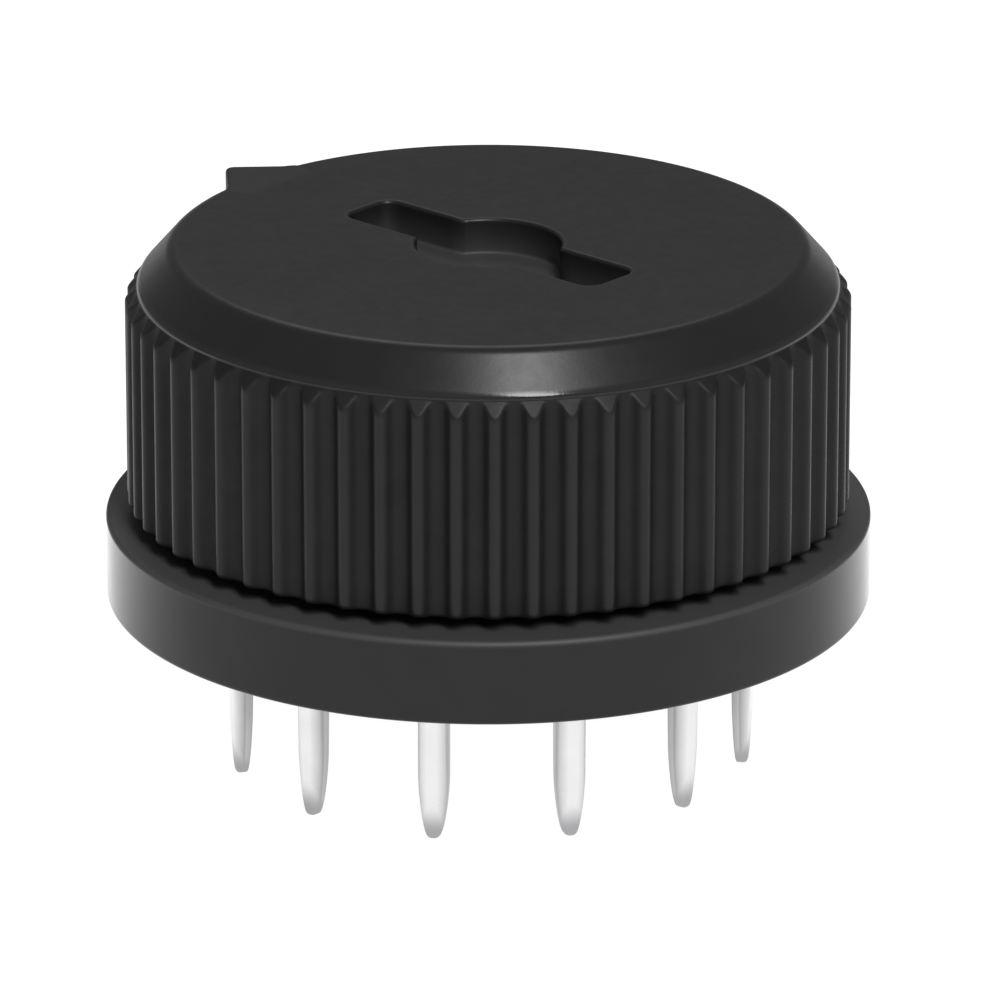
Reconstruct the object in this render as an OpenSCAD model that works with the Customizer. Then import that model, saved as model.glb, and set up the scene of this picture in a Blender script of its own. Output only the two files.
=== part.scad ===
// Rotary coded switch for printed boards: a fixed round base with ten
// terminals, and a ribbed knob over it that turns a code disc through ten
// indexed positions. Binary-coded output with a second, inverted output.
//
// Frame: the board's surface is z = 0 (the underside of the flange), +Z points
// up along the knob's axis, and -Y runs through the middle of the front group
// of terminals. All sizes are in millimetres.

/* [Flange and housing] */
// Diameter of the flange that seats on the board
flange_d = 22; // [21.6:0.1:23]
// Height of the flange
flange_h = 2.48; // [2.4:0.02:2.54]
// Break along the flange's upper and lower edges
flange_break = 0.15; // [0.05:0.01:0.25]
// Outer diameter of the drum inside the knob
drum_d = 17.2; // [17.1:0.1:17.6]
// Diameter of the contact chamber
chamber_d = 15.9; // [15.8:0.05:16]

/* [Knob] */
// Diameter over the ribs
rib_crest_d = 20.76; // [20.5:0.02:20.9]
// Diameter of the wall between the ribs
rib_root_d = 20.08; // [19.9:0.02:20.2]
// Number of ribs
rib_count = 60; // [40:5:60]
// Width of a rib where it leaves the wall
rib_base_w = 0.6; // [0.45:0.01:0.65]
// Width of a rib along its crest
rib_crest_w = 0.26; // [0.15:0.01:0.35]
// Height of the knob's flat top above the board
knob_top = 10.47; // [10.4:0.01:10.8]
// Height of the knob's lower edge above the board
knob_bottom = 2.82; // [2.78:0.01:2.95]
// Height at which the sloping shoulder starts
shoulder_z = 9.34; // [9.24:0.01:9.5]
// Diameter of the flat top
top_face_d = 17.66; // [17.4:0.02:17.8]

/* [Screwdriver slot and pointer] */
// Length of the slot
slot_l = 9.5; // [6:0.1:11]
// Width of the slot
slot_w = 1.95; // [1.2:0.05:2.4]
// Depth of the slot
slot_depth = 1.05; // [0.6:0.05:1.1]
// Diameter of the round recess in the middle of the slot
slot_centre_d = 4.2; // [3:0.1:5]
// Direction of the pointer from the +X axis, in degrees
pointer_angle = 135; // [0:45:315]
// Reach of the pointer's tip from the axis
pointer_r = 10.24; // [10:0.02:10.3]

/* [Terminals] */
// Diameter of the circle on which the terminals stand
pin_circle_d = 15; // [14.9:0.02:15.1]
// Length of a terminal below the board's upper surface
pin_len = 4.84; // [3.4:0.02:6]
// Width of a terminal's web
pin_w = 0.88; // [0.8:0.02:0.9]
// Depth of a terminal's folded sides
pin_d = 0.58; // [0.54:0.02:0.66]
// Thickness of the sheet that the terminals are stamped from
sheet_t = 0.22; // [0.2:0.01:0.24]

/* [Code disc] */
// Radius of the innermost contact track
track_r0 = 2.65; // [2.65:0.01:2.7]
// Distance from one contact track to the next
track_pitch = 0.48; // [0.46:0.01:0.48]
// Width of the openings that interrupt a track
window_w = 0.32; // [0.24:0.01:0.34]

/* [Hidden] */
$fn = 96;

e = 0.01;
positions = 10;
step = 360 / positions;

// Heights of the stacked parts, from the board upwards.
carrier_z0 = 0.4;
carrier_z1 = 1.6;
collar_z1 = 2.2;
disc_z0 = 2.75;
disc_z1 = 3.75;
plate_t = 0.2;
hub_flange_z1 = 4.35;
crown_z0 = 4.3;
spring_z0 = 4.45;
spring_z1 = 5.5;
seat_z1 = 5.6;
washer_t = 0.18;
roof_z0 = 5.8;
drum_z1 = 6.9;
neck_z1 = 7.5;
groove_z0 = 6.8;
shaft_z1 = 7.62;
ceiling_z = 8.0;
spigot_z1 = 8.85;
slot_z0 = knob_top - slot_depth;

// Radii of the running parts.
journal_r = 1.2;
shaft_r = 2.5;
running_gap = 0.04;
hub_boss_r = 1.9;
key_r = 2.1;
key_flat = 1.75;
seat_r = 2.9;
seat_flat = 2.3;
crown_crest_r = 7.0;
notch_r = 1.3;
notch_at = 6.2;
disc_r = 7.55;
skirt_in_r = 9.0;
spigot_w = 3.3;

pin_r = pin_circle_d / 2;
root_r = rib_root_d / 2;
crest_r = rib_crest_d / 2;

// Terminal angles, counted from the -Y axis. The odd places serve the inner
// plate and the even places the outer one.
code_angles = [-165, -75, -15, 45, 135];
inverse_angles = [-135, -45, 15, 75, 165];
finger_reach = 1.8;

function code_track(i) = track_r0 + i * track_pitch;
function inverse_track(i) = track_r0 + 5 * track_pitch + 0.15 + i * track_pitch;

// Where on the disc a terminal's finger touches, counted from +X.
function code_touch(i) = -90 + code_angles[i];
function inverse_touch(i) = -90 + inverse_angles[i] + asin(finger_reach / inverse_track(i));

// Binary digit b of position n, and whether a plate conducts there.
function digit(n, b) = floor((n % positions) / pow(2, b)) % 2;
function live(n, b, inverted) = inverted ? digit(n, b) == 0 : digit(n, b) == 1;
// How many positions in a row stay open from position n on.
function open_run(n, b, inverted) =
    live(n, b, inverted) ? 0 : 1 + open_run(n + 1, b, inverted);

// ---------------------------------------------------------------- helpers

module ring(r0, r1, z0, z1) {
    translate([0, 0, z0]) difference() {
        cylinder(r = r1, h = z1 - z0);
        translate([0, 0, -1]) cylinder(r = r0, h = z1 - z0 + 2);
    }
}

module double_flat(r, flat, z0, z1) {
    translate([0, 0, z0]) intersection() {
        cylinder(r = r, h = z1 - z0);
        translate([-r - 1, -flat, -1]) cube([2 * r + 2, 2 * flat, z1 - z0 + 2]);
    }
}

module at_terminal(angle) {
    rotate([0, 0, angle - 90]) children();
}

// ---------------------------------------------------------------- housing

// Bore of the indexing crown: a round opening with ten scalloped notches.
module crown_opening() {
    circle(r = crown_crest_r);
    for (i = [0 : positions - 1])
        rotate([0, 0, i * step]) translate([notch_at, 0]) circle(r = notch_r);
}

module base_housing() {
    color("#2b2b2d") {
        difference() {
            rotate_extrude() polygon([
                [0, 0],
                [flange_d / 2 - flange_break, 0],
                [flange_d / 2, flange_break],
                [flange_d / 2, flange_h - flange_break],
                [flange_d / 2 - flange_break, flange_h],
                [drum_d / 2 + 0.2, flange_h],
                [drum_d / 2, flange_h + 0.2],
                [drum_d / 2, drum_z1 - 0.25],
                [drum_d / 2 - 0.25, drum_z1],
                [4.2, drum_z1],
                [4.2, neck_z1],
                [0, neck_z1]]);
            // recess for the terminal carrier
            translate([0, 0, -1]) cylinder(r = 9.35, h = carrier_z1 + 1);
            // contact chamber
            translate([0, 0, -1]) cylinder(d = chamber_d, h = crown_z0 + 1);
            // indexing crown
            translate([0, 0, crown_z0 - 0.5])
                linear_extrude(height = roof_z0 - crown_z0 + 0.5) crown_opening();
            // upper bearing
            cylinder(r = shaft_r + running_gap, h = neck_z1 + 1);
            // groove of the sealing ring
            translate([0, 0, groove_z0]) cylinder(r = 3.27, h = 2);
        }
        // key that sets the carrier's angle
        intersection() {
            rotate([0, 0, 15]) translate([9.35, 0, carrier_z0 + 0.1])
                cylinder(r = 0.5, h = carrier_z1 - carrier_z0);
            cylinder(r = 10, h = 3);
        }
    }
}

// ---------------------------------------------------------------- terminals

// Section of a terminal's blade: a channel folded from sheet, web outwards.
module channel() {
    w = pin_w;
    d = pin_d;
    ro = 0.3;
    ri = ro - sheet_t;
    difference() {
        translate([d / 2 - ro, 0]) {
            translate([-d + ro, -w / 2]) square([d - ro, w]);
            translate([-e, -w / 2 + ro]) square([ro + e, w - 2 * ro]);
            for (s = [-1, 1]) translate([0, s * (w / 2 - ro)]) circle(r = ro);
        }
        translate([d / 2 - ro, 0]) {
            translate([-d, -w / 2 + sheet_t]) square([d, w - 2 * sheet_t]);
            translate([-e, -w / 2 + ro]) square([ri + e, w - 2 * ro]);
            for (s = [-1, 1]) translate([0, s * (w / 2 - ro)]) circle(r = ri);
        }
    }
}

// Half width of the blade's outline at a share u of the taper, 0 at its start.
function taper(u, full, tip) = tip + (full - tip) * sqrt(1 - pow(u, 1.4));

// Outline of the blade seen from one side, with an arched taper to the tip.
module blade_outline(full, tip, len, lean) {
    n = 8;
    pts = [for (i = [0 : n]) let (u = i / n)
        [taper(u, full, tip), -pin_len + len * (1 - u)]];
    polygon(concat(
        [[full, 3]],
        [for (p = pts) [p[0] + lean * (1 - (p[1] + pin_len) / len), p[1]]],
        [for (i = [n : -1 : 0]) [-pts[i][0] + lean * (1 - (pts[i][1] + pin_len) / len), pts[i][1]]],
        [[-full, 3]]));
}

module blade() {
    translate([pin_r, 0, 0]) intersection() {
        translate([0, 0, -pin_len]) linear_extrude(height = pin_len + carrier_z1 + e) channel();
        // seen from the front
        rotate([90, 0, 90]) translate([0, 0, -1]) linear_extrude(height = 2)
            blade_outline(pin_w / 2 + 0.01, 0.12, 1.85, 0);
        // seen from the side
        rotate([90, 0, 0]) translate([0, 0, -1]) linear_extrude(height = 2)
            blade_outline(pin_d / 2 + 0.01, 0.13, min(3.9, pin_len - 0.4), 0);
    }
}

// Foot of a terminal: the web turned inwards over the carrier, as far as r.
module foot(r) {
    translate([r, -0.25, carrier_z1])
        cube([pin_r + pin_d / 2 - r, 0.5, 0.2]);
}

// Spring finger, rising over a run of length l to the touching height.
module finger(l) {
    top = disc_z0 - 0.02;
    rotate([90, 0, 0]) translate([0, 0, -0.22]) linear_extrude(height = 0.44) {
        polygon([
            [-0.1, carrier_z1], [0.1, carrier_z1],
            [l + 0.1, top - 0.32], [l + 0.12, top - 0.2], [l - 0.1, top - 0.04],
            [0, carrier_z1 + 0.2], [-0.1, carrier_z1 + 0.2]]);
        translate([l, top - 0.16]) circle(r = 0.16);
    }
}

// Terminal whose finger runs straight in to a track of the inner plate.
module terminal_in(angle, track) {
    color("#c9c9cb") at_terminal(angle) {
        blade();
        foot(track + 2.2);
        translate([track + 2.2, 0, 0]) rotate([0, 0, 180]) finger(2.2);
    }
}

// Terminal whose finger lies across, over a track of the outer plate.
module terminal_across(angle, track) {
    x = sqrt(pow(track, 2) - pow(finger_reach, 2));
    color("#c9c9cb") at_terminal(angle) {
        blade();
        foot(x - 0.22);
        translate([x, 0.15, 0]) rotate([0, 0, 90]) finger(finger_reach - 0.15);
    }
}

module terminal_code_common() { terminal_in(code_angles[0], code_track(0)); }
module terminal_code_1() { terminal_in(code_angles[1], code_track(1)); }
module terminal_code_2() { terminal_in(code_angles[2], code_track(2)); }
module terminal_code_4() { terminal_in(code_angles[3], code_track(3)); }
module terminal_code_8() { terminal_in(code_angles[4], code_track(4)); }
module terminal_inverse_common() { terminal_across(inverse_angles[0], inverse_track(0)); }
module terminal_inverse_1() { terminal_across(inverse_angles[1], inverse_track(1)); }
module terminal_inverse_2() { terminal_across(inverse_angles[2], inverse_track(2)); }
module terminal_inverse_4() { terminal_across(inverse_angles[3], inverse_track(3)); }
module terminal_inverse_8() { terminal_across(inverse_angles[4], inverse_track(4)); }

// Moulded disc that closes the base and holds the ten terminals.
module terminal_carrier() {
    color("#3a3a3c") difference() {
        union() {
            translate([0, 0, carrier_z0]) cylinder(r = 9.32, h = carrier_z1 - carrier_z0);
            cylinder_between(2.6, 0.15, carrier_z0 + e);
            cylinder_between(1.9, carrier_z1 - e, collar_z1);
        }
        // lower bearing, closed below
        translate([0, 0, 0.75]) cylinder(r = journal_r + running_gap, h = 3);
        // notch for the housing's key
        rotate([0, 0, 15]) translate([9.35, 0, 0]) cylinder(r = 0.53, h = 3);
        // seats of the terminals
        for (a = concat(code_angles, inverse_angles))
            at_terminal(a) translate([pin_r, 0, 0]) linear_extrude(height = 3) channel();
    }
}

module cylinder_between(r, z0, z1) {
    translate([0, 0, z0]) cylinder(r = r, h = z1 - z0);
}

// ---------------------------------------------------------------- seal

module o_ring() {
    color("#1c1c1c") rotate_extrude() translate([2.86, groove_z0 + 0.35]) circle(r = 0.33);
}

// ---------------------------------------------------------------- rotor

module rib() {
    z1 = shoulder_z - 0.05;
    intersection() {
        linear_extrude(height = 12) polygon([
            [9.5, -rib_base_w / 2], [root_r, -rib_base_w / 2],
            [crest_r, -rib_crest_w / 2], [crest_r, rib_crest_w / 2],
            [root_r, rib_base_w / 2], [9.5, rib_base_w / 2]]);
        rotate([90, 0, 0]) translate([0, 0, -1]) linear_extrude(height = 2) polygon([
            [9.5, knob_bottom], [root_r, knob_bottom],
            [crest_r, knob_bottom + 0.2], [crest_r, z1 - 0.4],
            [root_r, z1], [9.5, z1]]);
    }
}

module pointer() {
    c = pointer_r - 0.2;
    s = 0.2 * sqrt(0.5);
    z0 = shoulder_z - 0.34;
    translate([0, 0, z0]) linear_extrude(height = knob_top - z0) {
        polygon([[8.4, -(c + 2 * s - 8.4)], [c + s, -s], [c + s, s], [8.4, c + 2 * s - 8.4]]);
        translate([c, 0]) circle(r = 0.2);
    }
}

module slot() {
    c = 0.45;
    translate([0, 0, slot_z0]) linear_extrude(height = 3) {
        square([slot_l, slot_w - 2 * c], center = true);
        square([slot_l - 2 * c, slot_w], center = true);
        for (x = [-1, 1], y = [-1, 1])
            translate([x * (slot_l / 2 - c), y * (slot_w / 2 - c)]) circle(r = c);
        circle(d = slot_centre_d);
    }
}

module knob() {
    tr = top_face_d / 2;
    color("#262628") difference() {
        union() {
            rotate_extrude() polygon([
                [0, knob_top], [tr, knob_top],
                [tr + 0.14, knob_top - 0.02], [tr + 0.27, knob_top - 0.08],
                [tr + 0.38, knob_top - 0.17],
                [root_r, shoulder_z],
                [root_r, knob_bottom + 0.1], [root_r - 0.1, knob_bottom],
                [skirt_in_r + 0.1, knob_bottom], [skirt_in_r, knob_bottom + 0.1],
                [skirt_in_r, ceiling_z - 0.4], [skirt_in_r - 0.4, ceiling_z],
                [3.9, ceiling_z], [3.9, shaft_z1], [0, shaft_z1]]);
            for (i = [0 : rib_count - 1])
                rotate([0, 0, -92 + i * 360 / rib_count]) rib();
            rotate([0, 0, pointer_angle]) pointer();
        }
        rotate([0, 0, pointer_angle]) slot();
        // socket for the hub's square end
        rotate([0, 0, pointer_angle])
            translate([-spigot_w / 2, -spigot_w / 2, shaft_z1 - 1])
                cube([spigot_w, spigot_w, spigot_z1 + 0.05 - shaft_z1 + 1]);
    }
}

module rotor_hub() {
    color("#e9e4d6") {
        rotate_extrude() polygon([
            [0, 0.85], [journal_r - 0.15, 0.85], [journal_r, 1.0],
            [journal_r, collar_z1 + 0.05], [hub_boss_r, collar_z1 + 0.05],
            [hub_boss_r, disc_z0 + e], [0, disc_z0 + e]]);
        double_flat(key_r, key_flat, disc_z0, disc_z1 + e);
        cylinder_between(3.4, disc_z1, hub_flange_z1);
        double_flat(seat_r, seat_flat, hub_flange_z1 - e, seat_z1);
        cylinder_between(shaft_r, seat_z1 - e, shaft_z1);
        rotate([0, 0, pointer_angle])
            translate([-spigot_w / 2, -spigot_w / 2, shaft_z1 - e])
                cube([spigot_w, spigot_w, spigot_z1 - shaft_z1 + e]);
    }
}

module thrust_washer() {
    color("#f2efe6") ring(shaft_r + 0.05, 3.6, seat_z1, seat_z1 + washer_t);
}

// Closed loop of flat spring strip round the hub, with a pressed bump at each
// end that sits in the crown's notches.
module detent_spring() {
    t = 0.25;
    far = 4.3;
    ro = seat_flat + 0.02 + t;
    bump_at = far + ro - 0.07;
    color("#b8bcc0") translate([0, 0, spring_z0]) linear_extrude(height = spring_z1 - spring_z0)
        difference() {
            union() {
                square([2 * far, 2 * ro], center = true);
                for (s = [-1, 1]) {
                    translate([s * far, 0]) circle(r = ro);
                    translate([s * bump_at, 0]) circle(r = 0.63);
                }
            }
            square([2 * far, 2 * (ro - t)], center = true);
            for (s = [-1, 1]) {
                translate([s * far, 0]) circle(r = ro - t);
                translate([s * bump_at, 0]) circle(r = 0.38);
            }
        }
}

// ---------------------------------------------------------------- code disc

// Openings of one track, where the plate must not conduct.
module track_windows(r, touch, b, inverted, z0) {
    margin = 1.5;
    for (n = [0 : positions - 1])
        if (!live(n, b, inverted) && live(n + positions - 1, b, inverted)) {
            run = open_run(n, b, inverted);
            rotate([0, 0, touch - step * (n + run - 1) - step / 2 + margin])
                rotate_extrude(angle = run * step - 2 * margin)
                    translate([r - window_w / 2, z0 - 1]) square([window_w, plate_t + 2]);
        }
}

module code_plate() {
    color("#d8b24a") difference() {
        ring(code_track(0) - track_pitch / 2 - 0.01, code_track(4) + track_pitch / 2,
             disc_z0, disc_z0 + plate_t);
        for (b = [0 : 3]) track_windows(code_track(b + 1), code_touch(b + 1), b, false, disc_z0);
    }
}

module inverse_plate() {
    color("#d8b24a") difference() {
        ring(inverse_track(0) - track_pitch / 2, inverse_track(4) + track_pitch / 2,
             disc_z0, disc_z0 + plate_t);
        for (b = [0 : 3]) track_windows(inverse_track(b + 1), inverse_touch(b + 1), b, true, disc_z0);
    }
}

module code_disc() {
    color("#3b5a45") difference() {
        cylinder_between(disc_r, disc_z0, disc_z1);
        double_flat(key_r + 0.02, key_flat + 0.02, disc_z0 - 1, disc_z1 + 1);
        code_plate();
        inverse_plate();
    }
}

base_housing();
terminal_carrier();
terminal_code_common();
terminal_code_1();
terminal_code_2();
terminal_code_4();
terminal_code_8();
terminal_inverse_common();
terminal_inverse_1();
terminal_inverse_2();
terminal_inverse_4();
terminal_inverse_8();
o_ring();
knob();
rotor_hub();
thrust_washer();
detent_spring();
code_disc();
code_plate();
inverse_plate();
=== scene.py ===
import math
import bpy
import numpy as np
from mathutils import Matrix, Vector
from mathutils.geometry import delaunay_2d_cdt


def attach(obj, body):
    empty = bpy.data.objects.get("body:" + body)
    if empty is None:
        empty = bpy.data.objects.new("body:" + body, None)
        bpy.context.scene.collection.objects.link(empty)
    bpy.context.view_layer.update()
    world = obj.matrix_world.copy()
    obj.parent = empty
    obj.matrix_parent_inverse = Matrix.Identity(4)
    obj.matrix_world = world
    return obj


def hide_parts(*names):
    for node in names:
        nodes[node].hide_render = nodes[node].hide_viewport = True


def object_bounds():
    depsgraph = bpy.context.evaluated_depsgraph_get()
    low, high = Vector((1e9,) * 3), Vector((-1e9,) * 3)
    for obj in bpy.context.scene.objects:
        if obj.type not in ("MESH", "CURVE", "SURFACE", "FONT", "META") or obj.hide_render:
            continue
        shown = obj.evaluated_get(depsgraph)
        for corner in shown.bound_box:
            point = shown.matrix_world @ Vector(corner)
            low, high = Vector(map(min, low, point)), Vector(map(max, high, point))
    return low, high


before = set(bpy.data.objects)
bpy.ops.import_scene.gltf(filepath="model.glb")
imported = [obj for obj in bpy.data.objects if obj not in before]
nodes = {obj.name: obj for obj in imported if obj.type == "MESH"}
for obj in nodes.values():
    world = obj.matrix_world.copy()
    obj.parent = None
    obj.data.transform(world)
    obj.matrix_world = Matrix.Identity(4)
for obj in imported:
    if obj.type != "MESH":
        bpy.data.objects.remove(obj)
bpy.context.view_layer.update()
MM = 0.001
scene = bpy.context.scene


# ============================================================ mesh building
class Shell:
    """Collects vertices (millimetres) and faces of one piece."""

    def __init__(self):
        self.v, self.f, self.n = [], [], 0
        self.attr = []

    def add(self, pts, attr=None):
        pts = np.asarray(pts, float).reshape(-1, 3)
        start = self.n
        self.v.append(pts)
        a = np.zeros(len(pts)) if attr is None else np.broadcast_to(np.asarray(attr, float).reshape(-1), (len(pts),))
        self.attr.append(a)
        self.n += len(pts)
        return np.arange(start, self.n)

    def rows(self, grid, attr=None):
        """Adds a grid of points (rows, columns, 3) and returns its indices."""
        grid = np.asarray(grid, float)
        idx = self.add(grid.reshape(-1, 3), None if attr is None else np.asarray(attr).reshape(-1))
        return idx.reshape(grid.shape[:2])

    def quads(self, idx, close_rows=False):
        """Joins the rows of a grid that is closed round its columns."""
        r, c = idx.shape
        last = r if close_rows else r - 1
        for i in range(last):
            a, b = idx[i], idx[(i + 1) % r]
            for k in range(c):
                m = (k + 1) % c
                self.f.append((int(a[k]), int(b[k]), int(b[m]), int(a[m])))

    def bridge(self, a, b):
        """Joins ring a to ring b, where a has a whole multiple of b's points."""
        m = len(a) // len(b)
        for k in range(len(b)):
            b0, b1 = int(b[k]), int(b[(k + 1) % len(b)])
            seg = [int(a[(m * k + i) % len(a)]) for i in range(m + 1)]
            h = m // 2
            for i in range(h):
                self.f.append((seg[i], b0, seg[i + 1]))
            self.f.append((seg[h], b0, b1))
            for i in range(h, m):
                self.f.append((seg[i], b1, seg[i + 1]))

    def fill(self, outer, holes, up, inner_points=(), inner_att=0.0):
        """Triangulates the flat space inside ring outer and outside the holes."""
        v = np.concatenate(self.v)
        rings = [list(map(int, outer))] + [list(map(int, h)) for h in holes]
        pts, back, edges = [], [], []
        for ring in rings:
            s = len(pts)
            pts += [Vector(v[i][:2]) for i in ring]
            back += ring
            edges += [(s + i, s + (i + 1) % len(ring)) for i in range(len(ring))]
        z = v[rings[0][0]][2]
        if len(inner_points):
            extra = self.add([(p[0], p[1], z) for p in inner_points], inner_att)
            pts += [Vector(p) for p in inner_points]
            back += list(map(int, extra))
        out_v, _, out_f, orig, _, _ = delaunay_2d_cdt(pts, edges, [], 0, 1e-7)
        polys = [np.array([v[i][:2] for i in ring]) for ring in rings]

        def inside(poly, p):
            x, y = poly[:, 0], poly[:, 1]
            x2, y2 = np.roll(x, -1), np.roll(y, -1)
            cross = (y > p[1]) != (y2 > p[1])
            with np.errstate(divide="ignore", invalid="ignore"):
                xi = (x2 - x) * (p[1] - y) / (y2 - y) + x
            return np.count_nonzero(cross & (p[0] < xi)) % 2 == 1

        for tri in out_f:
            c = sum((out_v[i] for i in tri), Vector((0, 0))) / 3
            if not inside(polys[0], c) or any(inside(h, c) for h in polys[1:]):
                continue
            ids = [back[orig[i][0]] for i in tri]
            a, b, d = (out_v[i] for i in tri)
            ccw = (b - a).x * (d - a).y - (b - a).y * (d - a).x > 0
            if ccw != up:
                ids.reverse()
            self.f.append(tuple(ids))

    def make(self, name, material, attr_name=None, sharp=None):
        v = np.concatenate(self.v) * MM
        me = bpy.data.meshes.new(name)
        me.from_pydata(v.tolist(), [], self.f)
        me.update()
        me.polygons.foreach_set("use_smooth", np.ones(len(me.polygons), bool))
        if attr_name:
            at = me.attributes.new(attr_name, "FLOAT", "POINT")
            at.data.foreach_set("value", np.concatenate(self.attr).astype(np.float32))
        if sharp:
            me.set_sharp_from_angle(angle=math.radians(sharp))
        me.materials.append(material)
        ob = bpy.data.objects.new(name, me)
        scene.collection.objects.link(ob)
        return ob


def arc(cx, cz, r, a0, a1, n):
    """Points of an arc in the (r, z) plane, angles in degrees from +r."""
    return [(cx + r * math.cos(math.radians(a0 + (a1 - a0) * i / n)),
             cz + r * math.sin(math.radians(a0 + (a1 - a0) * i / n))) for i in range(n + 1)]


def smooth(t):
    t = np.clip(t, 0, 1)
    return t * t * (3 - 2 * t)


# ============================================================ materials
def new_mat(name):
    m = bpy.data.materials.new(name)
    m.use_nodes = True
    nt = m.node_tree
    return m, nt, nt.nodes["Principled BSDF"]


def node(nt, kind, **values):
    n = nt.nodes.new(kind)
    for k, val in values.items():
        if k in n.inputs:
            n.inputs[k].default_value = val
        else:
            setattr(n, k, val)
    return n


def link(nt, a, ao, b, bi):
    nt.links.new(a.outputs[ao], b.inputs[bi])


def noise(nt, scale, detail=3.0, rough=0.55, stretch=None):
    tc = node(nt, "ShaderNodeTexCoord")
    mp = node(nt, "ShaderNodeMapping")
    if stretch:
        mp.inputs["Scale"].default_value = stretch
    link(nt, tc, "Object", mp, "Vector")
    n = node(nt, "ShaderNodeTexNoise", Scale=scale, Detail=detail, Roughness=rough)
    link(nt, mp, "Vector", n, "Vector")
    return n


def ramp(nt, src, out, p0, p1, c0, c1):
    r = node(nt, "ShaderNodeMapRange")
    r.inputs["From Min"].default_value = p0
    r.inputs["From Max"].default_value = p1
    r.inputs["To Min"].default_value = c0
    r.inputs["To Max"].default_value = c1
    nt.links.new(src.outputs[out], r.inputs["Value"])
    return r


def mixcol(nt, fac, out, a, b):
    m = nt.nodes.new("ShaderNodeMix")
    m.data_type = "RGBA"
    nt.links.new(fac.outputs[out], m.inputs["Factor"])
    ca = [s for s in m.inputs if s.name == "A" and s.type == "RGBA"][0]
    cb = [s for s in m.inputs if s.name == "B" and s.type == "RGBA"][0]
    for s, c in ((ca, a), (cb, b)):
        if hasattr(c, "type"):
            nt.links.new(c, s)
        else:
            s.default_value = (*c, 1)
    return [s for s in m.outputs if s.type == "RGBA"][0]


def bump(nt, p, layers):
    """Chain of bumps: (node, output, strength, height in metres)."""
    prev = None
    for src, out, strength, dist in layers:
        b = node(nt, "ShaderNodeBump")
        b.inputs["Strength"].default_value = strength
        b.inputs["Distance"].default_value = dist
        nt.links.new(src.outputs[out], b.inputs["Height"])
        if prev:
            nt.links.new(prev.outputs["Normal"], b.inputs["Normal"])
        prev = b
    nt.links.new(prev.outputs["Normal"], p.inputs["Normal"])


def moulded(name, dark, light, r0, r1, spec=0.5, grain=1.0, attr=None, worn_sheen=None, r_worn=None, recess_fill=None):
    """Moulded plastic: mottled colour, fine spark-eroded grain and soft waviness.
    attr names a point attribute that leads from 0 to 1 to the lighter worn colour and lower roughness, real rubbing
    with a painted highlight in its colour, and from 1 to 2 on to the lighter recess colour, painted fill light that
    lifts the shade in recesses."""
    m, nt, p = new_mat(name)
    mott = noise(nt, 900, 4)
    f = ramp(nt, mott, "Fac", 0.32, 0.7, 0, 1)
    col = mixcol(nt, f, "Result", dark, light)
    fine = noise(nt, 9000, 2)
    wavy = noise(nt, 420, 1)
    rr = ramp(nt, noise(nt, 2600, 3), "Fac", 0.3, 0.7, r0, r1)
    if attr:
        at = node(nt, "ShaderNodeAttribute", attribute_name=attr)
        # the attribute leads to the lighter worn colour: rubbing, with a painted highlight in the colour
        col = mixcol(nt, at, "Fac", col, worn_sheen)
        mr = nt.nodes.new("ShaderNodeMix")
        mr.data_type = "FLOAT"
        fin = [s for s in mr.inputs if s.type == "VALUE"]
        share = at.outputs["Fac"]
        if recess_fill:
            # lighter colour in recesses: painted fill light lifting their shade
            fill_share = ramp(nt, at, "Fac", 1, 2, 0, 1)
            col = mixcol(nt, fill_share, "Result", col, recess_fill)
            keep = node(nt, "ShaderNodeMath", operation="SUBTRACT", use_clamp=True)
            keep.inputs[0].default_value = 1
            nt.links.new(fill_share.outputs["Result"], keep.inputs[1])
            prod = node(nt, "ShaderNodeMath", operation="MULTIPLY", use_clamp=True)
            nt.links.new(at.outputs["Fac"], prod.inputs[0])
            nt.links.new(keep.outputs[0], prod.inputs[1])
            share = prod.outputs[0]
        nt.links.new(share, fin[0])
        nt.links.new(rr.outputs["Result"], fin[1])
        fin[2].default_value = r_worn
        nt.links.new([s for s in mr.outputs if s.type == "VALUE"][0], p.inputs["Roughness"])
    else:
        nt.links.new(rr.outputs["Result"], p.inputs["Roughness"])
    nt.links.new(col, p.inputs["Base Color"])
    p.inputs["Specular IOR Level"].default_value = spec
    bump(nt, p, [(wavy, "Fac", 0.25 * grain, 12e-6), (fine, "Fac", 0.35 * grain, 4e-6)])
    return m


def metal_mat(name, base, dark, r0, r1, stretch, scale, depth=0.2, attr=None, cut_and_shade=None, r_cut=0.5):
    """Metal with drawn or brushed streaks and a faint change of tone."""
    m, nt, p = new_mat(name)
    p.inputs["Metallic"].default_value = 1
    st = noise(nt, scale, 4, 0.6, stretch)
    tone = noise(nt, 700, 2)
    col = mixcol(nt, ramp(nt, tone, "Fac", 0.3, 0.75, 0, 1), "Result", base, dark)
    rr = ramp(nt, st, "Fac", 0.3, 0.7, r0, r1)
    if attr:
        # the attribute leads to a darker colour: dull sheared edges, and painted shade on the sides, folds and tip
        at = node(nt, "ShaderNodeAttribute", attribute_name=attr)
        col = mixcol(nt, at, "Fac", col, cut_and_shade)
        mr = nt.nodes.new("ShaderNodeMix")
        mr.data_type = "FLOAT"
        fin = [s for s in mr.inputs if s.type == "VALUE"]
        nt.links.new(at.outputs["Fac"], fin[0])
        nt.links.new(rr.outputs["Result"], fin[1])
        fin[2].default_value = r_cut
        nt.links.new([s for s in mr.outputs if s.type == "VALUE"][0], p.inputs["Roughness"])
    else:
        nt.links.new(rr.outputs["Result"], p.inputs["Roughness"])
    nt.links.new(col, p.inputs["Base Color"])
    bump(nt, p, [(st, "Fac", depth, 3e-6)])
    return m


# knob: the worn colour, lighter than the black, is partly rubbing and partly a painted highlight on rib crests, crown
# rim and shoulder edge; the recess colour is painted fill light in the slot
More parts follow.
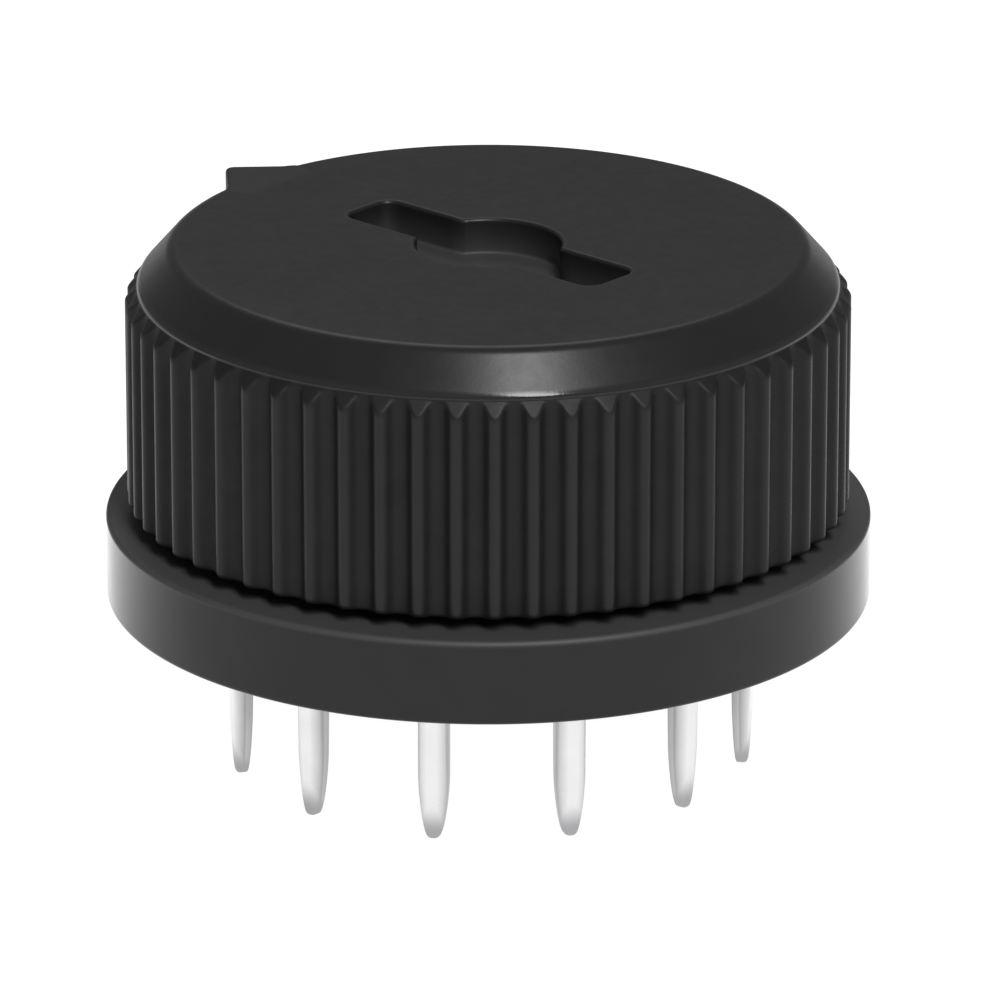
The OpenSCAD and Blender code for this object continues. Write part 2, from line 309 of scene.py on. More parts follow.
knob_mat = moulded("knob_black", (0.0056, 0.0056, 0.0058), (0.0086, 0.0086, 0.0089), 0.50, 0.58, spec=0.30,
                   attr="rub_sheen_fill", worn_sheen=(0.0210, 0.0210, 0.0216), r_worn=0.13, recess_fill=(0.042, 0.042, 0.043))
# housing: the frosted top of the flange is also painted lighter, painted light on its top face and edge fillet
housing_mat = moulded("housing_black", (0.0045, 0.0045, 0.0047), (0.0070, 0.0070, 0.0073), 0.12, 0.18, spec=0.40, grain=0.4,
                      attr="frost_and_top_light", worn_sheen=(0.045, 0.045, 0.046), r_worn=0.55)
carrier_mat = moulded("carrier_black", (0.014, 0.014, 0.015), (0.024, 0.024, 0.025), 0.5, 0.64, grain=1.4)
rubber_mat = moulded("seal_rubber", (0.010, 0.010, 0.010), (0.018, 0.018, 0.018), 0.55, 0.75, grain=1.8)
hub_mat = moulded("hub_ivory", (0.70, 0.67, 0.57), (0.80, 0.77, 0.68), 0.34, 0.44, grain=0.6)
washer_mat = moulded("washer_white", (0.80, 0.79, 0.75), (0.88, 0.87, 0.83), 0.42, 0.55, grain=0.8)
disc_mat = moulded("disc_green", (0.030, 0.070, 0.043), (0.052, 0.105, 0.066), 0.38, 0.5, grain=0.8)
# tin: the attribute's darker colour marks the dull sheared edges and paints shade on the blade's sides, folds and tip
tin_mat = metal_mat("terminal_tinned", (0.95, 0.95, 0.955), (0.87, 0.87, 0.88), 0.16, 0.26, (1, 1, 0.12), 5000,
                    attr="cut_and_shade", cut_and_shade=(0.40, 0.40, 0.41), r_cut=0.42)
spring_mat = metal_mat("spring_steel", (0.62, 0.63, 0.65), (0.50, 0.51, 0.53), 0.22, 0.38, (1, 1, 12), 1400)
plate_mat = metal_mat("plate_gold", (0.86, 0.66, 0.28), (0.78, 0.57, 0.22), 0.16, 0.28, (1, 1, 1), 3000)


# ============================================================ knob
TOP = 10.47
FLAT_R = 8.83
CROWN_R = 0.5
ROOT_R = 10.04
SHOULDER = 9.34
BOTTOM = 2.82
SHOULDER_FILLET = 0.22
RIB_H = 0.34
RIB_TOP = 9.225
POINTER_AT, POINTER_R, POINTER_APEX = 135.0, 10.24, 0.2
SLOT_Z = 9.42


def rib_section():
    """Offsets across one rib pitch at radius 10.2 mm, and the height at each."""
    xs = [0.05, 0.10, 0.15, 0.20, 0.255, 0.32, 0.41]
    hs = [0.334, 0.314, 0.277, 0.220, 0.143, 0.066, 0.016]
    off = [-x for x in reversed(xs)] + [0] + xs + [10.2 * math.radians(3)]
    h = list(reversed(hs)) + [RIB_H] + hs + [0.0]
    return off, h


off, rib_h = rib_section()
angles, height = [], []
for i in range(60):
    for x, h in zip(off, rib_h):
        angles.append(-92 + 6 * i + math.degrees(x / 10.2))
        height.append(h)
angles = np.array(angles)
height = np.array(height)
NC = len(angles)
ca, sa = np.cos(np.radians(angles)), np.sin(np.radians(angles))

# outline of the pointer, as a radius in each column
delta = np.abs((angles - POINTER_AT + 180) % 360 - 180)
sharp_tip = POINTER_R + POINTER_APEX * (math.sqrt(2) - 1)
d = np.radians(np.minimum(delta, 45))
point_r = sharp_tip * math.sin(math.pi / 4) / np.cos(math.pi / 4 - d)
apex_c = POINTER_R - POINTER_APEX
with np.errstate(invalid="ignore"):
    apex = apex_c * np.cos(d) + np.sqrt(POINTER_APEX ** 2 - (apex_c * np.sin(d)) ** 2)
use = (apex_c * np.sin(d) < POINTER_APEX * 0.7071)
point_r = np.where(use, apex, point_r)
point_r[delta > 40] = 0

# base profile from the end of the flat to the wall
bev = math.atan2(1, 1)
for _ in range(40):
    t = CROWN_R * math.tan(bev / 2)
    corner = FLAT_R + t
    sr, sz = corner + t * math.cos(bev), TOP - t * math.sin(bev)
    bev = math.atan2(sz - SHOULDER, ROOT_R - sr)
crown = [(FLAT_R + CROWN_R * math.sin(bev * i / 60), TOP - CROWN_R * (1 - math.cos(bev * i / 60))) for i in range(61)]
turn = math.pi / 2 - bev
ts = SHOULDER_FILLET * math.tan(turn / 2)
fs = (ROOT_R - ts * math.cos(bev), SHOULDER + ts * math.sin(bev))
fc = (ROOT_R - SHOULDER_FILLET, SHOULDER - ts)
line = [(crown[-1][0] + (fs[0] - crown[-1][0]) * i / 30, crown[-1][1] + (fs[1] - crown[-1][1]) * i / 30) for i in range(1, 31)]
fil = [(fc[0] + SHOULDER_FILLET * math.cos(turn * (1 - i / 16)), fc[1] + SHOULDER_FILLET * math.sin(turn * (1 - i / 16)))
       for i in range(1, 17)]
base = np.array(crown + line + fil)
seg = np.hypot(*np.diff(base, axis=0).T)
S = np.concatenate([[0], np.cumsum(seg)])
LEN = S[-1]
s_crown = CROWN_R * bev
s_fil0 = S[90]


def base_at(s):
    return np.interp(s, S, base[:, 0]), np.interp(s, S, base[:, 1])


# rows of the plain columns, as lengths along the base profile
plain = np.concatenate([
    np.linspace(0, s_crown, 13),
    [s_crown + 0.03],
    np.linspace(s_crown + 0.12, s_fil0 - 0.12, 3),
    [s_fil0 - 0.03],
    np.linspace(s_fil0, LEN, 7)])
NR = len(plain)
EDGE = 0.13        # rounding of the pointer's upper edge
upper = np.zeros((NR + 2, NC, 3))
rub_sheen_u = np.zeros((NR + 2, NC))
n_edge, n_drop = 6, 3
for k in range(NC):
    rp = point_r[k]
    pts = []
    if rp > FLAT_R + 0.14:
        r_hit = min(rp, ROOT_R - 0.012)
        s_hit = float(np.interp(r_hit, base[:, 0], S))
        z_hit = base_at(s_hit)[1]
        drop = TOP - z_hit
        e = min(EDGE, drop * 0.6)
        pts += [(rp - e + e * math.sin(math.radians(90 * i / (n_edge - 1))),
                 TOP - e + e * math.cos(math.radians(90 * i / (n_edge - 1)))) for i in range(n_edge)]
        z1 = TOP - e
        gap = min(0.03, (z1 - z_hit) * 0.3)
        pts += [(rp, z1 - gap), (rp, z_hit + gap), (rp, z_hit)]
        rest = NR - len(pts)
        lens = np.concatenate([[s_hit + 0.03 * min(1, (LEN - s_hit) / 0.2)],
                               s_hit + (LEN - s_hit) * np.linspace(0, 1, rest)[1:]])
        for s in lens:
            r, z = base_at(s)
            pts.append((max(r, rp), z))
        flat_end = rp - e
    else:
        pts = [tuple(map(float, base_at(s))) for s in plain]
        flat_end = FLAT_R
    col = [(8.3, TOP), (flat_end - 0.07, TOP)] + pts
    for i, (r, z) in enumerate(col):
        upper[i, k] = (r * ca[k], r * sa[k], z)

# wall with the ribs, from the shoulder down
wall = []            # (z, base radius, share of the rib's height)
wall.append((SHOULDER - ts - 0.012, ROOT_R, 0.0))
for i in range(16):
    wall.append((RIB_TOP - 0.004 - 0.03 * i, ROOT_R, 1.0))
wall.append((RIB_TOP - 0.56, ROOT_R, 1.0))
wall.append((BOTTOM + 0.27, ROOT_R, 1.0))
for a in (0, 15, 30, 45, 60, 75, 90):
    a = math.radians(a)
    z = BOTTOM + 0.22 - 0.22 * math.sin(a)
    dr = 0.0 if z > BOTTOM + 0.1 else 0.1 - math.sqrt(max(0.0, 0.01 - (BOTTOM + 0.1 - z) ** 2))
    wall.append((z, ROOT_R - dr, max(math.cos(a), 0.0)))
wall_pts = np.zeros((len(wall), NC, 3))
wall_rub_sheen = np.zeros((len(wall), NC))
for i, (z, r0, w) in enumerate(wall):
    limit = max((RIB_TOP - z) * 0.9, 0.0)
    gap = np.maximum(0.07 - np.abs(height - limit), 0.0)
    cut_h = np.maximum(np.minimum(height, limit) - gap ** 2 / 0.28, 0.0)
    r = r0 + cut_h * w
    chin = np.where(point_r > ROOT_R, ROOT_R + (point_r - ROOT_R) * smooth((z - 8.9) / 0.25), 0)
    r = np.maximum(r, chin)
    wall_pts[i, :, 0], wall_pts[i, :, 1], wall_pts[i, :, 2] = r * ca, r * sa, z
    # rib crests get the lighter worn colour: a painted highlight on the crests, with their polish in the roughness
    wall_rub_sheen[i] = 0.36 * smooth((cut_h * w - 0.24) / 0.09) * float(smooth((RIB_TOP - 0.38 - z) / 0.2))
# the bevel and the pointer get a little of the lighter worn colour, the shoulder's edge more: rubbing with a painted
# highlight
prof_rub_sheen = np.zeros(NR + 2)
for i, s in enumerate(plain):
    prof_rub_sheen[i + 2] = 0.16 + 0.36 * smooth(s / 0.12) + 0.48 * smooth((s - s_fil0 + 0.12) / 0.14)
prof_rub_sheen[0:2] = 0.14
rub_sheen_u[:] = prof_rub_sheen[:, None]
rub_sheen_u[:, point_r > FLAT_R + 0.14] = 0.3

kn = Shell()
top_rows = kn.rows(upper, rub_sheen_u)
wall_rows = kn.rows(wall_pts, wall_rub_sheen)
outer_rows = np.vstack([top_rows, wall_rows])
kn.quads(outer_rows)

# underside of the skirt, inner wall and ceiling, with a quarter of the columns
NI = NC // 4
ia = angles[::4]
ci, si = np.cos(np.radians(ia)), np.sin(np.radians(ia))
prof_in = [(9.12, BOTTOM)] + arc(9.1, BOTTOM + 0.1, 0.1, 270, 180, 4) + [(9.0, 3.0), (9.0, 7.56)] + \
    arc(8.6, 7.6, 0.4, 0, 90, 6) + [(8.5, 8.0), (4.05, 8.0)] + arc(4.05, 7.85, 0.15, 90, 180, 3) + \
    [(3.9, 7.72)] + arc(3.82, 7.70, 0.08, 0, -90, 3) + [(3.7, 7.62)]
inner = np.array([[(r * c, r * s, z) for c, s in zip(ci, si)] for r, z in prof_in])
inner_rows = kn.rows(inner)
kn.bridge(outer_rows[-1], inner_rows[0])
kn.quads(inner_rows)

# square socket for the hub
ph = math.radians(POINTER_AT)


def turned(x, y, z):
    return (x * math.cos(ph) - y * math.sin(ph), x * math.sin(ph) + y * math.cos(ph), z)


def square_ring(h, z, c=0.12, n=4):
    pts = []
    for q in range(4):
        for i in range(n + 1):
            a = math.radians(90 * q + 90 * i / n)
            x = (h - c) * (1 if q in (0, 3) else -1) + c * math.cos(a)
            y = (h - c) * (1 if q in (0, 1) else -1) + c * math.sin(a)
            pts.append(turned(x, y, z))
    return pts


sock = np.array([square_ring(1.70, 7.62), square_ring(1.66, 7.66), square_ring(1.65, 7.70),
                 square_ring(1.65, 8.86), square_ring(1.62, 8.90), square_ring(1.55, 8.90)])
sock_rows = kn.rows(sock)
kn.quads(sock_rows)
kn.fill(inner_rows[-1], [sock_rows[0]], up=False)
kn.fill(sock_rows[-1], [], up=False)


# slot in the top
def slot_ring(g, z):
    """Outline of the slot, grown by g."""
    l, w, c, rc = 9.5 / 2 + g, 1.95 / 2 + g, 0.45 + g, 2.1 + g
    xj = math.sqrt(rc * rc - w * w)
    quarter = []
    aj = math.asin(w / rc)
    for i in range(15):                       # round recess, from its side to the slot
        a = math.pi / 2 - (math.pi / 2 - aj) * i / 14
        quarter.append((rc * math.cos(a), rc * math.sin(a)))
    for i in range(1, 6):                     # side of the slot
        quarter.append((xj + (l - c - xj) * i / 5, w))
    for i in range(1, 9):                     # corner
        a = math.pi / 2 - math.pi / 2 * i / 8
        quarter.append((l - c + c * math.cos(a), w - c + c * math.sin(a)))
    q1 = quarter + [(l, 0.0)]
    q4 = [(x, -y) for x, y in reversed(quarter)]
    half = q1 + q4[:-1]
    full = half + [(-x, -y) for x, y in half]
    return [turned(x, y, z) for x, y in reversed(full)]


LIP, FOOT = 0.1, 0.08
sl = [slot_ring(LIP + 0.07, TOP)]
for i in range(6):
    a = math.radians(90 * i / 5)
    sl.append(slot_ring(LIP - LIP * math.sin(a), TOP - LIP + LIP * math.cos(a)))
sl.append(slot_ring(0.0, TOP - LIP - 0.03))
sl.append(slot_ring(0.0, SLOT_Z + FOOT + 0.03))
for i in range(4):
    a = math.radians(90 * i / 3)
    sl.append(slot_ring(-FOOT + FOOT * math.cos(a), SLOT_Z + FOOT - FOOT * math.sin(a)))
sl.append(slot_ring(-FOOT - 0.05, SLOT_Z))
sl = np.array(sl)[:, ::-1]
# the slot's lip gets some worn colour with a painted highlight; its walls and floor (2.0) get the lighter recess
# colour, painted fill light
slot_sheen_fill = np.zeros(sl.shape[:2])
slot_sheen_fill[:] = 0.4
slot_sheen_fill[0] = 0.12
slot_sheen_fill[8:] = 2.0
slot_rows = kn.rows(sl, slot_sheen_fill)
kn.quads(slot_rows)
kn.fill(outer_rows[0], [slot_rows[0]], up=True,
        inner_points=[(r * math.cos(a), r * math.sin(a)) for r, n in ((7.9, 240), (7.2, 120), (6.2, 60), (5.4, 48))
                      for a in np.linspace(0, 2 * math.pi, n, endpoint=False)], inner_att=0.12)
kn.fill(slot_rows[-1], [], up=True)
knob = kn.make("knob_body", knob_mat, "rub_sheen_fill")
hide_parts("knob")
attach(knob, "rotor")


# ============================================================ housing
FLANGE_R, FLANGE_H = 11.0, 2.48
NH = 720
ha = np.linspace(0, 360, NH, endpoint=False)
ch, sh = np.cos(np.radians(ha)), np.sin(np.radians(ha))

notch = np.abs((ha + 18) % 36 - 18)
nd = np.radians(notch)
with np.errstate(invalid="ignore"):
    lobe = 6.2 * np.cos(nd) + np.sqrt(1.3 ** 2 - (6.2 * np.sin(nd)) ** 2)
crown_r = np.maximum(7.0, np.nan_to_num(lobe, nan=0.0))
kd = np.radians(np.abs((ha - 15 + 180) % 360 - 180))
with np.errstate(invalid="ignore"):
    kr = 9.35 * np.cos(kd) - np.sqrt(0.5 ** 2 - (9.35 * np.sin(kd)) ** 2)
key_r = np.where(np.isnan(kr) | (kd > 0.3), 9.35, np.minimum(kr, 9.35))

hp = []
hp += [(3.42, 7.5), (4.06, 7.5)] + arc(4.08, 7.38, 0.12, 90, 0, 4) + [(4.2, 7.3), (4.2, 7.02)]
hp += arc(4.32, 7.02, 0.12, 180, 270, 4) + [(4.45, 6.9), (8.26, 6.9)] + arc(8.35, 6.65, 0.25, 90, 0, 6)
hp += [(8.6, 6.5), (8.6, 2.78)] + arc(8.9, 2.78, 0.3, 180, 270, 6) + [(9.0, 2.48), (9.5, 2.48), (10.4, 2.48), (10.80, 2.48)]
hp += arc(10.85, 2.33, 0.15, 90, 0, 8) + [(11.0, 2.28), (11.0, 1.4), (11.0, 0.18)] + arc(10.87, 0.13, 0.13, 0, -90, 9)
hp += [(10.74, 0.0), (9.50, 0.0)] + arc(9.43, 0.08, 0.08, 270, 180, 4)
hp += [(9.35, 0.12), (9.35, 0.46)]
keyed = [0.50, 0.54, 1.56, 1.60]
tail = [(9.2, 1.6), (7.99, 1.6), (7.95, 1.64), (7.95, 4.26), (7.91, 4.30)]
rows_h = []
for r, z in hp:
    rows_h.append(np.stack([r * ch, r * sh, np.full(NH, z)], 1))
for j, z in enumerate(keyed):
    rr_ = key_r if 0 < j else np.full(NH, 9.35)
    rows_h.append(np.stack([rr_ * ch, rr_ * sh, np.full(NH, z)], 1))
rr_ = np.minimum(key_r, 9.2)
rows_h.append(np.stack([np.minimum(rr_ - 0.05, 9.2) * ch, np.minimum(rr_ - 0.05, 9.2) * sh, np.full(NH, 1.6)], 1))
for r, z in tail[1:]:
    rows_h.append(np.stack([r * ch, r * sh, np.full(NH, z)], 1))
for g, z in ((0.10, 4.30), (0.03, 4.33), (0.0, 4.40), (0.0, 5.72), (-0.04, 5.78), (-0.1, 5.80)):
    rr_ = crown_r + g
    rows_h.append(np.stack([rr_ * ch, rr_ * sh, np.full(NH, z)], 1))
for r, z in ((2.68, 5.8), (2.57, 5.83), (2.54, 5.90), (2.54, 6.72), (2.57, 6.78), (2.64, 6.8), (3.19, 6.8), (3.25, 6.82),
             (3.27, 6.88), (3.27, 7.36), (3.31, 7.45)):
    rows_h.append(np.stack([r * ch, r * sh, np.full(NH, z)], 1))
hs_ = Shell()
hz = np.array(rows_h)
hr = np.hypot(hz[..., 0], hz[..., 1])
# flange top face and edge fillet: frosted roughness, and a lighter colour painted as light falling on the top
frost_and_top_light = smooth((hz[..., 2] - 2.31) / 0.07) * smooth((hr - 8.3) / 0.3)
hrows = hs_.rows(hz, frost_and_top_light)
hs_.quads(hrows, close_rows=True)
housing = hs_.make("housing_body", housing_mat, "frost_and_top_light")
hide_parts("base_housing")
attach(housing, "base")


# ============================================================ terminals
PIN_R, PIN_LEN, PIN_W, PIN_D, SHEET = 7.5, 4.84, 0.88, 0.58, 0.22
FOLD = 0.3
code_angles = [-165, -75, -15, 45, 135]
inverse_angles = [-135, -45, 15, 75, 165]
REACH = 1.8
TOUCH = 2.75 - 0.02


def channel_ring():
    """Closed section of the folded blade, web towards +x, and how dark each point is painted: the sheared edges are
    dull metal, the sides and folds carry painted shade.
    """
    w, dd, ro = PIN_W / 2, PIN_D / 2, FOLD
    ri = FOLD - SHEET
    er = 0.05
    pts, cut_and_shade = [], []

    def put(x, y, c=0.0):
        pts.append((x, y))
        cut_and_shade.append(c)

    cx = dd - ro
    # outer side, -y
    for x, c in ((-dd + er, 0.75), (-dd + 0.12, 0.7), (-0.05, 0.6), (cx - 0.03, 0.8)):
        put(x, -w, c)
    for i in range(0, 9):
        a = math.radians(-90 + 90 * i / 8)
        put(cx + ro * math.cos(a), -w + ro + ro * math.sin(a), 0.85 * (1 - i / 8) ** 1.1)
    put(dd, 0.0)
    for i in range(0, 9):
        a = math.radians(90 * i / 8)
        put(cx + ro * math.cos(a), w - ro + ro * math.sin(a), 0.85 * (i / 8) ** 1.1)
    for x, c in ((cx - 0.03, 0.8), (-0.05, 0.6), (-dd + 0.12, 0.7), (-dd + er, 0.75)):
        put(x, w, c)
    # cut edge, +y
    for a in (60, 30):
        put(-dd + er - er * math.cos(math.radians(a)), w - er + er * math.sin(math.radians(a)), 1.0)
    put(-dd, w - er, 1.0)
    put(-dd, w - SHEET + er, 1.0)
    for a in (30, 60):
        put(-dd + er - er * math.cos(math.radians(a)), w - SHEET + er - er * math.sin(math.radians(a)), 1.0)
    # inner faces
    for x in (-dd + er, -0.1, cx - 0.02):
        put(x, w - SHEET, 0.6)
    for i in range(0, 5):
        a = math.radians(90 - 90 * i / 4)
        put(cx + ri * math.cos(a), w - ro + ri * math.sin(a), 0.5)
    put(dd - SHEET, 0.0, 0.4)
    for i in range(0, 5):
        a = math.radians(-90 * i / 4)
        put(cx + ri * math.cos(a), -w + ro + ri * math.sin(a), 0.5)
    for x in (cx - 0.02, -0.1, -dd + er):
        put(x, -w + SHEET, 0.6)
    for a in (60, 30):
        put(-dd + er - er * math.cos(math.radians(a)), -w + SHEET - er + er * math.sin(math.radians(a)), 1.0)
    put(-dd, -w + SHEET - er, 1.0)
    put(-dd, -w + er, 1.0)
    for a in (30, 60):
        put(-dd + er - er * math.cos(math.radians(a)), -w + er - er * math.sin(math.radians(a)), 1.0)
    return np.array(pts), np.array(cut_and_shade)


def taper(u, full, tip):
    return tip + (full - tip) * math.sqrt(max(0.0, 1 - u ** 1.4))


ring2d, cut_and_shade2d = channel_ring()


def blade(sh_):
    zs = [1.6, 0.3, -0.6, -0.9, -0.94]
    zs += list(-0.94 - (PIN_LEN - 0.94) * np.linspace(0, 1, 36)[1:-1] ** 0.8)
    rows, at = [], []
    for z in zs + [-PIN_LEN + 0.035, -PIN_LEN + 0.012, -PIN_LEN]:
        h = z + PIN_LEN
        ff = taper(1 - h / 1.85, PIN_W / 2, 0.12) / (PIN_W / 2) if h < 1.85 else 1.0
        fs_ = taper(1 - h / 3.9, PIN_D / 2, 0.13) / (PIN_D / 2) if h < 3.9 else 1.0
        if h < 0.04:
            k = {0.035: 0.93, 0.012: 0.8}.get(round(h, 3), 0.6)
            ff, fs_ = ff * k, fs_ * k
        rows.append([(PIN_R + x * fs_, y * ff, z) for x, y in ring2d])
        # darker towards the tip: painted shade, standing in for the shaded floor that the tip reflects
        tip_shade = float(smooth((1.1 - h) / 0.9)) * 0.9
        at.append(np.maximum(cut_and_shade2d, tip_shade))
    g = np.array(rows)
    # columns run the other way round here: close them with the outside outwards
    idx = sh_.rows(g, np.array(at))
    sh_.quads(idx)
    # ends
    for row, flip in ((idx[0], False), (idx[-1], True)):
        v = np.concatenate(sh_.v)
        ring = [int(i) for i in row]
        pts = [Vector(v[i][:2]) for i in ring]
        n = len(ring)
        out_v, _, out_f, orig, _, _ = delaunay_2d_cdt(pts, [(i, (i + 1) % n) for i in range(n)], [], 1, 1e-7)
        for tri in out_f:
            ids = [ring[orig[i][0]] for i in tri]
            a, b, d_ = (out_v[i] for i in tri[:3])
            ccw = (b - a).x * (d_ - a).y - (b - a).y * (d_ - a).x > 0
            if ccw == flip:
                ids.reverse()
            sh_.f.append(tuple(ids))


def ribbon(sh_, path, widths, th, att=0.15):
    """Strip of sheet swept along path (x, z) in the local plane, thickness th, widths across y."""
    path = np.array(path, float)
    t = np.gradient(path, axis=0)
    t /= np.linalg.norm(t, axis=1)[:, None]
    nrm = np.stack([-t[:, 1], t[:, 0]], 1)
    b = 0.04
    rows = []
    for (x, z), (nx, nz), w in zip(path, nrm, widths):
        h = th / 2
        sec = [(-w / 2 + b, -h), (w / 2 - b, -h), (w / 2 - b * 0.3, -h + b * 0.3), (w / 2, -h + b), (w / 2, h - b),
               (w / 2 - b * 0.3, h - b * 0.3), (w / 2 - b, h), (-w / 2 + b, h), (-w / 2 + b * 0.3, h - b * 0.3),
               (-w / 2, h - b), (-w / 2, -h + b), (-w / 2 + b * 0.3, -h + b * 0.3)]
        rows.append([(x + nx * s_, y, z + nz * s_) for y, s_ in sec])
    return np.array(rows)


def place(grid, turn_deg, at):
    """Turns local points about z and moves them."""
    a = math.radians(turn_deg)
    g = np.array(grid, float)
    x = g[..., 0] * math.cos(a) - g[..., 1] * math.sin(a) + at[0]
    y = g[..., 0] * math.sin(a) + g[..., 1] * math.cos(a) + at[1]
    return np.stack([x, y, g[..., 2] + at[2]], -1)


def add_strip(sh_, grid, att=0.2):
    idx = sh_.rows(grid, np.full(grid.shape[:2], att))
    sh_.quads(idx)
    sh_.f.append(tuple(int(i) for i in idx[0][::-1]))
    sh_.f.append(tuple(int(i) for i in idx[-1]))


def finger_path(l):
    """Rises from the foot to the touching height over a run l, and curls over at its end."""
    z0, z1 = 1.7, TOUCH - 0.12
    pts = [(-0.1, z0), (0.0, z0), (0.08, z0 + 0.005)]
    for i in range(1, 9):
        u = i / 8
        pts.append((0.12 + (l - 0.16 - 0.12) * u, z0 + 0.02 + (z1 - z0 - 0.04) * u))
    for a in (70, 50, 25, 0, -25, -50):
        pts.append((l + 0.0 - 0.14 * math.sin(math.radians(a)), z1 - 0.10 + 0.14 * math.cos(math.radians(a))))
    return pts


def terminal(name, angle, track, across):
    s = Shell()
    blade(s)
    if across:
        x = math.sqrt(track ** 2 - REACH ** 2)
        r = x - 0.22
    else:
        x = track + 2.2
        r = x - 0.1
    far = PIN_R + PIN_D / 2
    fp = [(far - 0.02, 1.7), (far - 0.1, 1.7), (PIN_R, 1.7), ((PIN_R + r) / 2, 1.7), (r + 0.05, 1.7), (r, 1.7)]
    g = ribbon(s, fp, [0.5] * len(fp), 0.2)
    add_strip(s, g)
    l = REACH - 0.15 if across else 2.2
    path = finger_path(l)
    g = ribbon(s, path, [0.44] * len(path), 0.12)
    if across:
        g = place(g, 90, (x, 0.15, 0))
    else:
        g = place(g, 180, (x, 0, 0))
    add_strip(s, g)
    # turn to its place
    a = math.radians(angle - 90)
    c_, s_ = math.cos(a), math.sin(a)
    s.v = [np.stack([v[:, 0] * c_ - v[:, 1] * s_, v[:, 0] * s_ + v[:, 1] * c_, v[:, 2]], 1) for v in s.v]
    ob = s.make(name + "_strip", tin_mat, "cut_and_shade", sharp=50)
    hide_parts(name)
    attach(ob, "base")
    return ob


code_names = ["common", "1", "2", "4", "8"]
for i in range(5):
    terminal("terminal_code_" + code_names[i], code_angles[i], 2.65 + i * 0.48, False)
    terminal("terminal_inverse_" + code_names[i], inverse_angles[i], 2.65 + 5 * 0.48 + 0.15 + i * 0.48, True)

# ============================================================ kept CAD nodes
kept = {"terminal_carrier": carrier_mat, "o_ring": rubber_mat, "rotor_hub": hub_mat, "thrust_washer": washer_mat,
        "detent_spring": spring_mat, "code_disc": disc_mat, "code_plate": plate_mat, "inverse_plate": plate_mat,
        "knob": knob_mat, "base_housing": housing_mat}
for n, o in nodes.items():
    o.data.materials.clear()
    o.data.materials.append(kept.get(n, tin_mat))

# ============================================================ camera
AZ, EL, DIST, LENS = -3.0, 20.79, 0.27764, 346.08
a, e = math.radians(AZ), math.radians(EL)
back = Vector((math.sin(a) * math.cos(e), -math.cos(a) * math.cos(e), math.sin(e)))
right = Vector((math.cos(a), math.sin(a), 0))
up = back.cross(right)
aim = right * (0.03053 * 0.011) + up * (0.2247 * 0.011)
cam_data = bpy.data.cameras.new("camera")
cam = bpy.data.objects.new("camera", cam_data)
scene.collection.objects.link(cam)
cam_data.lens = LENS
cam_data.sensor_width = 36
cam_data.clip_start, cam_data.clip_end = 0.01, 10
cam.location = back * DIST
cam.rotation_mode = "QUATERNION"
cam.rotation_quaternion = (aim - cam.location).to_track_quat("-Z", "Y")
scene.camera = cam
scene.view_settings.view_transform = "Standard"
scene.view_settings.look = "None"

# ============================================================ stage
floor_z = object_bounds()[0].z
fm = bpy.data.meshes.new("floor")
s = 1.5
fm.from_pydata([(-s, -s, floor_z), (s, -s, floor_z), (s, s, floor_z), (-s, s, floor_z)], [], [(0, 1, 2, 3)])
floor = bpy.data.objects.new("floor", fm)
scene.collection.objects.link(floor)
m, nt, p = new_mat("floor")
p.inputs["Base Color"].default_value = (0.16, 0.16, 0.16, 1)
p.inputs["Roughness"].default_value = 0.9
p.inputs["Specular IOR Level"].default_value = 0.0
p.inputs["Emission Color"].default_value = (1, 1, 1, 1)
fl = node(nt, "ShaderNodeLightPath")
fmix = nt.nodes.new("ShaderNodeMix")
fmix.data_type = "FLOAT"
fsock = [q for q in fmix.inputs if q.type == "VALUE"]
nt.links.new(fl.outputs["Is Camera Ray"], fsock[0])
ftc = node(nt, "ShaderNodeTexCoord")
fxyz = node(nt, "ShaderNodeSeparateXYZ")
nt.links.new(ftc.outputs["Object"], fxyz.inputs[0])
fr = node(nt, "ShaderNodeMapRange", interpolation_type="SMOOTHSTEP")
nt.links.new(fxyz.outputs["Y"], fr.inputs["Value"])
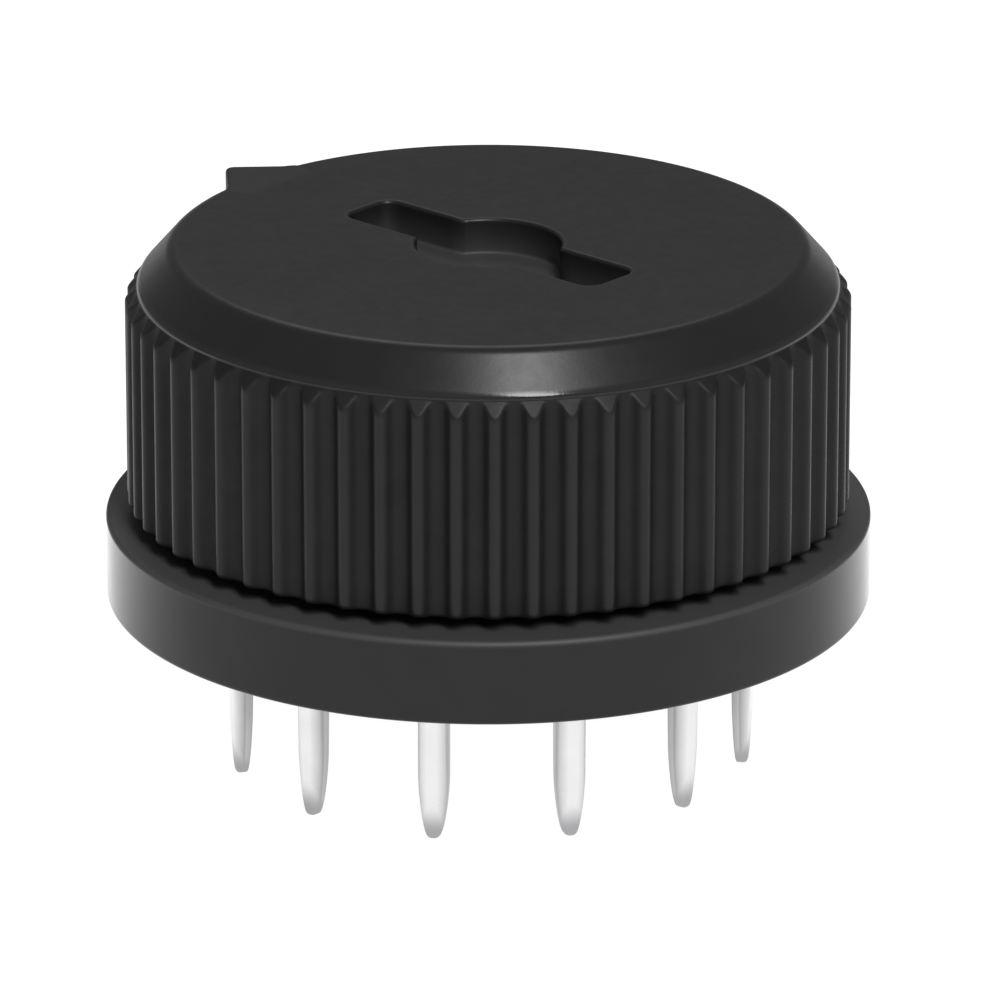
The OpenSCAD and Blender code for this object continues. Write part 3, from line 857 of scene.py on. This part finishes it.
fr.inputs["From Min"].default_value = -0.004
fr.inputs["From Max"].default_value = 0.018
fr.inputs["To Min"].default_value = 0.82
fr.inputs["To Max"].default_value = 1.42
far = node(nt, "ShaderNodeMapRange", interpolation_type="SMOOTHSTEP")
nt.links.new(fxyz.outputs["Y"], far.inputs["Value"])
far.inputs["From Min"].default_value = 0.018
far.inputs["From Max"].default_value = 0.042
far.inputs["To Min"].default_value = 1.0
far.inputs["To Max"].default_value = 0.35
fboth = node(nt, "ShaderNodeMath", operation="MULTIPLY")
nt.links.new(fr.outputs["Result"], fboth.inputs[0])
nt.links.new(far.outputs["Result"], fboth.inputs[1])
nt.links.new(fboth.outputs[0], fsock[1])
fsock[2].default_value = 0.99
nt.links.new([q for q in fmix.outputs if q.type == "VALUE"][0], p.inputs["Emission Strength"])
fm.materials.append(m)

world = bpy.data.worlds.new("world")
scene.world = world
world.use_nodes = True
wt = world.node_tree
bg = wt.nodes["Background"]
lp = wt.nodes.new("ShaderNodeLightPath")
mx = wt.nodes.new("ShaderNodeMix")
mx.data_type = "RGBA"
wt.links.new(lp.outputs["Is Camera Ray"], mx.inputs["Factor"])
mx.inputs["A"].default_value = (0.185, 0.185, 0.185, 1)
mx.inputs["B"].default_value = (1, 1, 1, 1)
wt.links.new(mx.outputs["Result"], bg.inputs["Color"])


def area(name, az, el, dist, size, power, target=(0, 0, 0.005)):
    d = bpy.data.lights.new(name, "AREA")
    d.shape = "ELLIPSE"
    d.size, d.size_y = size
    d.energy = power
    o = bpy.data.objects.new(name, d)
    scene.collection.objects.link(o)
    aa, ee = math.radians(az), math.radians(el)
    b = Vector((math.sin(aa) * math.cos(ee), -math.cos(aa) * math.cos(ee), math.sin(ee)))
    t = Vector(target)
    o.location = t + b * dist
    o.rotation_mode = "QUATERNION"
    o.rotation_quaternion = (-b).to_track_quat("-Z", "Y")
    return o


area("key", 15, 50, 0.6, (0.14, 0.46), 3.2)
area("back", 180, 47, 0.6, (0.3, 0.3), 0.32)
